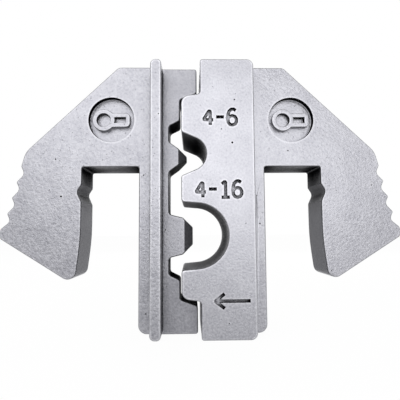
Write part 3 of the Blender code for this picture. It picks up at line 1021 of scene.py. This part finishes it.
@dataclass
class NestDie(Die):
    """The nest die: a thick block with two open nests, and its wing."""

    half: ClassVar[Half] = Half.NEST
    outward: ClassVar[int] = 1
    pit_seed: ClassVar[int] = 7
    depth: float = 10.53 * MM
    step_slope: float = math.radians(8.5)
    step_radius: float = 1.2 * MM
    step_fillet: float = 0.5 * MM
    numerals: Glyphs = Glyphs()
    numeral_height: float = 2.35 * MM
    small_sizes: Point = (2.56 * MM, 11.36 * MM)
    large_sizes: Point = (2.3 * MM, 0.94 * MM)
    arrow: Point = (3.93 * MM, -14.65 * MM)
    arrow_tail: float = 2.6 * MM
    arrow_stem: float = 2.2 * MM
    arrow_nose: float = 2.3 * MM
    arrow_barb: float = 1.0 * MM
    stroke: float = 0.48 * MM
    stroke_corner: float = 0.12 * MM
    engraving: float = 0.55 * MM
    voids: tuple[Void, ...] = (
        (4.28 * MM, -6.33 * MM, 7.62 * MM, 0.17 * MM),
        (2.75 * MM, -6.44 * MM, 9.59 * MM, 0.12 * MM),
        (8.55 * MM, -3.42 * MM, -3.9 * MM, 0.13 * MM),
    )

    @property
    def shoulder_x(self) -> float:
        """X of the block's outer face."""
        return self.parting.x + self.depth

    def outline(self) -> list[Corner]:
        """Return the corners of the block: shoulder, end lands, middle land and two nests."""
        half = self.length / 2
        line = self.parting
        run = line.end_land_step * math.tan(self.step_slope)
        top_z = line.step_top_z - line.step_clearance
        bottom_z = line.step_bottom_z + line.step_clearance
        return [
            (self.shoulder_x, -half, self.outer_radius),
            (self.shoulder_x, half, self.outer_radius),
            (line.end_x, half, self.inner_radius),
            (line.end_x, top_z + run, self.step_fillet),
            (line.x, top_z, self.step_radius),
            *line.small.corners(line.x),
            *line.large.corners(line.x),
            (line.x, bottom_z, self.step_radius),
            (line.end_x, bottom_z - run, self.step_fillet),
            (line.end_x, -half, self.inner_radius),
        ]

    def build(self, shop: Workshop, steel: Material) -> list[Object]:
        """Return the nest die's casting and its raised sign."""
        outline = shop.outliner.rounded(self.outline())
        casting = shop.rimmed.make("nest_die_casting", outline, self.thickness, self.rim, steel)
        return self.complete(shop, casting, [self.engraving_form(shop, steel)], steel)

    def engraving_form(self, shop: Workshop, steel: Material) -> Object:
        """Return the strokes that are cut into the block's front: cable sizes and a closing arrow."""
        strokes = self.numerals.line("4-6", self.small_sizes, self.numeral_height)
        strokes += self.numerals.line("4-16", self.large_sizes, self.numeral_height)
        x, z = self.arrow
        barb_x = x - self.arrow_barb
        strokes.append([(x + self.arrow_tail, z), (x - self.arrow_stem, z)])
        strokes.append([(barb_x, z + self.arrow_barb), (x - self.arrow_nose, z),
                        (barb_x, z - self.arrow_barb)])
        return shop.strokes.make("engraving_form", strokes, -self.thickness / 2, self.stroke,
                                 2 * self.engraving, self.stroke_corner, steel)


@dataclass(frozen=True)
class Indenter:
    """One indenter, which presses a barrel into its nest."""

    rise: float
    reach: float
    tip_width: float
    shoulder: float = 0.0
    nose: float = 0.0
    tip_radius: float = 0.4 * MM
    root_fillet: float = 0.6 * MM

    def corners(self, root: Point, root_half: float, land_x: float, setback: float) -> list[Corner]:
        """Return the indenter's corners, from its lower root over its tip to its upper root.

        Args:
            root: X of the relief that it stands on, and Z of the nest that it faces.
            root_half: half its width at the root.
            land_x: X of the plate's land, which its reach starts at.
            setback: how far the tip is drawn back at this depth of the plate.

        Returns:
            The corners, anticlockwise.
        """
        tip_x = land_x + self.reach
        tip_half = self.tip_width / 2
        start_x, start_half = root[0], root_half
        side = [(start_x, start_half, self.root_fillet)]
        if self.nose > 0.0:
            start_x, start_half = tip_x - self.nose, root_half - self.shoulder
            side.append((start_x, start_half, self.tip_radius))
        flank = (start_half - tip_half) / (tip_x - start_x)
        side.append((tip_x - setback, tip_half + setback * flank, self.tip_radius))
        centre_z = root[1] + self.rise
        lower = [(x, centre_z - half, radius) for x, half, radius in side]
        upper = [(x, centre_z + half, radius) for x, half, radius in reversed(side)]
        return lower + upper


@dataclass
class IndenterDie(Die):
    """The indenter die: a thin plate with two indenters on a thick ridge, and its wing."""

    half: ClassVar[Half] = Half.INDENTER
    outward: ClassVar[int] = -1
    pit_seed: ClassVar[int] = 3
    web: float = 0.9 * MM
    ridge_width: float = 1.6 * MM
    ridge_radius: float = 0.6 * MM
    plate_thickness: float = 5.6 * MM
    relief_fillet: float = 0.6 * MM
    step_slope: float = math.radians(20.0)
    step_radius: float = 0.5 * MM
    root_overlap: float = 0.55 * MM
    bell_setback: float = 1.15 * MM
    bell_depth: float = 2.0 * MM
    rim_steps: int = 5
    voids: tuple[Void, ...] = (
        (-20.86 * MM, -3.33 * MM, 0.26 * MM, 0.17 * MM),
        (-8.3 * MM, -3.42 * MM, -16.9 * MM, 0.14 * MM),
        (-8.7 * MM, -3.42 * MM, 3.4 * MM, 0.12 * MM),
    )
    small: Indenter = Indenter(rise=0.24 * MM, reach=1.03 * MM, tip_width=0.75 * MM)
    large: Indenter = Indenter(rise=-0.06 * MM, reach=1.91 * MM, tip_width=2.64 * MM,
                               shoulder=0.51 * MM, nose=1.5 * MM)

    @property
    def ridge_x(self) -> float:
        """X of the ridge's inner face."""
        return self.parting.relief_x - self.web

    @property
    def shoulder_x(self) -> float:
        """X of the ridge's outer face."""
        return self.ridge_x - self.ridge_width

    def plate_corners(self, setback: float) -> list[Corner]:
        """Return the corners of the plate, with both indenter tips drawn back by a distance."""
        half = self.length / 2
        line = self.parting
        root_x = self.ridge_x - self.root_overlap
        run = (line.plate_end_x - line.plate_x) * math.tan(self.step_slope)
        return [
            (root_x, half, 0.0),
            (root_x, -half, 0.0),
            (line.plate_end_x, -half, self.inner_radius),
            (line.plate_end_x, line.step_bottom_z - run, self.step_radius),
            (line.plate_x, line.step_bottom_z, self.step_radius),
            (line.plate_x, line.relief_bottom_z - line.relief_run, self.relief_fillet),
            (line.relief_x, line.relief_bottom_z, self.relief_fillet),
            *self.large.corners((line.relief_x, line.large.centre_z), line.large_root,
                                line.plate_x, setback),
            *self.small.corners((line.relief_x, line.small.centre_z), line.small_root,
                                line.plate_x, setback),
            (line.relief_x, line.relief_top_z, self.relief_fillet),
            (line.plate_x, line.relief_top_z + line.relief_run, self.relief_fillet),
            (line.plate_x, line.step_top_z, self.step_radius),
            (line.plate_end_x, line.step_top_z + run, self.step_radius),
            (line.plate_end_x, half, self.inner_radius),
        ]

    def plate(self, shop: Workshop, steel: Material) -> Object:
        """Return the plate, whose indenter tips slope back into a bell mouth at each face."""
        face = shop.outliner.rounded(self.plate_corners(self.bell_setback))
        full = shop.outliner.rounded(self.plate_corners(0.0))
        inward = shop.outliner.inward(face)
        front_y = -self.plate_thickness / 2
        sections = []
        for step in range(self.rim_steps + 1):
            swing = math.pi / 2 * step / self.rim_steps
            shrink = self.rim * (1 - math.sin(swing))
            y = front_y + self.rim * (1 - math.cos(swing))
            sections.append((y, [p + move * shrink for p, move in zip(face, inward)]))
        sections.append((front_y + self.bell_depth, full))
        sections += [(-y, outline) for y, outline in reversed(sections)]
        shape = bmesh.new()
        rings = [[shape.verts.new((p.x, y, p.y)) for p in outline] for y, outline in sections]
        for near, far in zip(rings, rings[1:]):
            for index, vertex in enumerate(near):
                shape.faces.new((vertex, near[index - 1], far[index - 1], far[index]))
        shape.faces.new(rings[0])
        shape.faces.new(list(reversed(rings[-1])))
        mesh = bpy.data.meshes.new("indenter_die_plate")
        shape.to_mesh(mesh)
        shape.free()
        mesh.materials.append(steel)
        return new_object("indenter_die_plate", mesh)

    def build(self, shop: Workshop, steel: Material) -> list[Object]:
        """Return the indenter die's casting and its raised sign."""
        half = self.length / 2
        ridge = shop.outliner.rounded([
            (self.ridge_x, -half, self.ridge_radius), (self.ridge_x, half, self.ridge_radius),
            (self.shoulder_x, half, self.outer_radius), (self.shoulder_x, -half, self.outer_radius),
        ])
        casting = shop.rimmed.make("indenter_die_casting", ridge, self.thickness, self.rim, steel)
        combine(casting, self.plate(shop, steel), Operation.JOIN)
        return self.complete(shop, casting, [], steel)


@dataclass(frozen=True)
class Lamp:
    """A soft lamp that looks at a point, with its roll in degrees and its power in watts."""

    name: str
    place: Place
    target: Place
    size: Point
    roll: float
    power: float

    def hang(self) -> None:
        """Hang the lamp in its place."""
        light = bpy.data.lights.new(self.name, "AREA")
        light.shape = "RECTANGLE"
        light.size, light.size_y = self.size
        light.energy = self.power
        thing = new_object(self.name, light)
        thing.location = self.place
        look = (Vector(self.target) - Vector(self.place)).to_track_quat("-Z", "Y").to_matrix()
        thing.rotation_euler = (look @ Matrix.Rotation(math.radians(self.roll), 3, "Z")).to_euler()


@dataclass(frozen=True)
class Studio:
    """A plain pale floor, soft lamps and the camera."""

    floor_half: float = 1.5
    floor_drop: float = 0.02 * MM
    floor_roughness: float = 0.9
    floor_glow: float = 0.96
    floor_colour: str = "F0F0F0"
    white: str = "FFFFFF"
    fill: float = 0.7
    camera_place: Place = (-1.674 * MM, -60.242 * MM, 14.971 * MM)
    camera_turn: Place = (94.6897, 0.3908, -1.3254)
    lens: float = 34.496
    clip: Range = (1.0 * MM, 10.0)
    lamps: tuple[Lamp, ...] = (
        Lamp("key_softbox", place=(-0.012, -0.115, 0.058), target=(0.0, 0.0, 0.022),
             size=(0.22, 0.1), roll=-22.0, power=0.152),
        Lamp("back_softbox", place=(0.03, 0.2, 0.12), target=(0.0, 0.0, 0.02),
             size=(0.2, 0.14), roll=0.0, power=0.16),
    )

    def background_share(self, node: NodeAdder) -> Node:
        """Return one where the background is looked at, directly or in a reflection."""
        rays = node("ShaderNodeLightPath").outputs
        seen = rays["Is Camera Ray"]
        for kind in ("Glossy", "Transmission"):
            seen = node(MATHS, (seen, rays[f"Is {kind} Ray"]), operation="MAXIMUM")
        return seen

    def build_world(self) -> None:
        """Make the soft white surroundings."""
        world = bpy.data.worlds.new("studio")
        bpy.context.scene.world = world
        world.use_nodes = True
        world.node_tree.nodes.clear()
        node = partial(add_node, world.node_tree)
        strength = node(RANGE, {0: self.background_share(node), 3: self.fill, 4: 1.0})
        back = node("ShaderNodeBackground", {"Color": to_linear(self.white), "Strength": strength})
        node("ShaderNodeOutputWorld", {"Surface": back})

    def build_floor(self) -> None:
        """Make the pale floor, which keeps the dies' shadow."""
        half, z = self.floor_half, -self.floor_drop
        mesh = bpy.data.meshes.new("floor")
        mesh.from_pydata([(-half, -half, z), (half, -half, z), (half, half, z), (-half, half, z)],
                         [], [(0, 1, 2, 3)])
        floor = new_object("floor", mesh)
        paint = bpy.data.materials.new("matt_white_board")
        paint.use_nodes = True
        paint.node_tree.nodes.clear()
        node = partial(add_node, paint.node_tree)
        board = node("ShaderNodeBsdfPrincipled", {"Base Color": to_linear(self.floor_colour),
                                                  "Roughness": self.floor_roughness})
        glow = node("ShaderNodeEmission", {"Color": to_linear(self.white), "Strength": 1.0})
        share = node(MATHS, (self.background_share(node), self.floor_glow), operation="MULTIPLY")
        node("ShaderNodeOutputMaterial", (node("ShaderNodeMixShader", (share, board, glow)),))
        mesh.materials.append(paint)

    def build_camera(self) -> None:
        """Place the camera, level with the middle of the dies."""
        camera = bpy.data.cameras.new("camera")
        camera.lens = self.lens
        camera.clip_start, camera.clip_end = self.clip
        thing = new_object("camera", camera)
        thing.location = self.camera_place
        thing.rotation_euler = [math.radians(turn) for turn in self.camera_turn]
        bpy.context.scene.camera = thing

    def build(self) -> None:
        """Make the whole studio."""
        self.build_world()
        self.build_floor()
        for lamp in self.lamps:
            lamp.hang()
        self.build_camera()
        bpy.context.scene.view_settings.view_transform = "Standard"


def main() -> None:
    """Build the studio and both dies, and report each piece."""
    logging.basicConfig(level=logging.INFO, format="%(name)s: %(message)s")
    Studio().build()
    shop = Workshop()
    for half, pieces in ((Half.NEST, NestDie().build(shop, BLOCK_STEEL.make())),
                         (Half.INDENTER, IndenterDie().build(shop, PLATE_STEEL.make()))):
        for number, piece in enumerate(pieces):
            shop.hand_over(piece, half, number == 0)


if __name__ == "__main__":
    main()
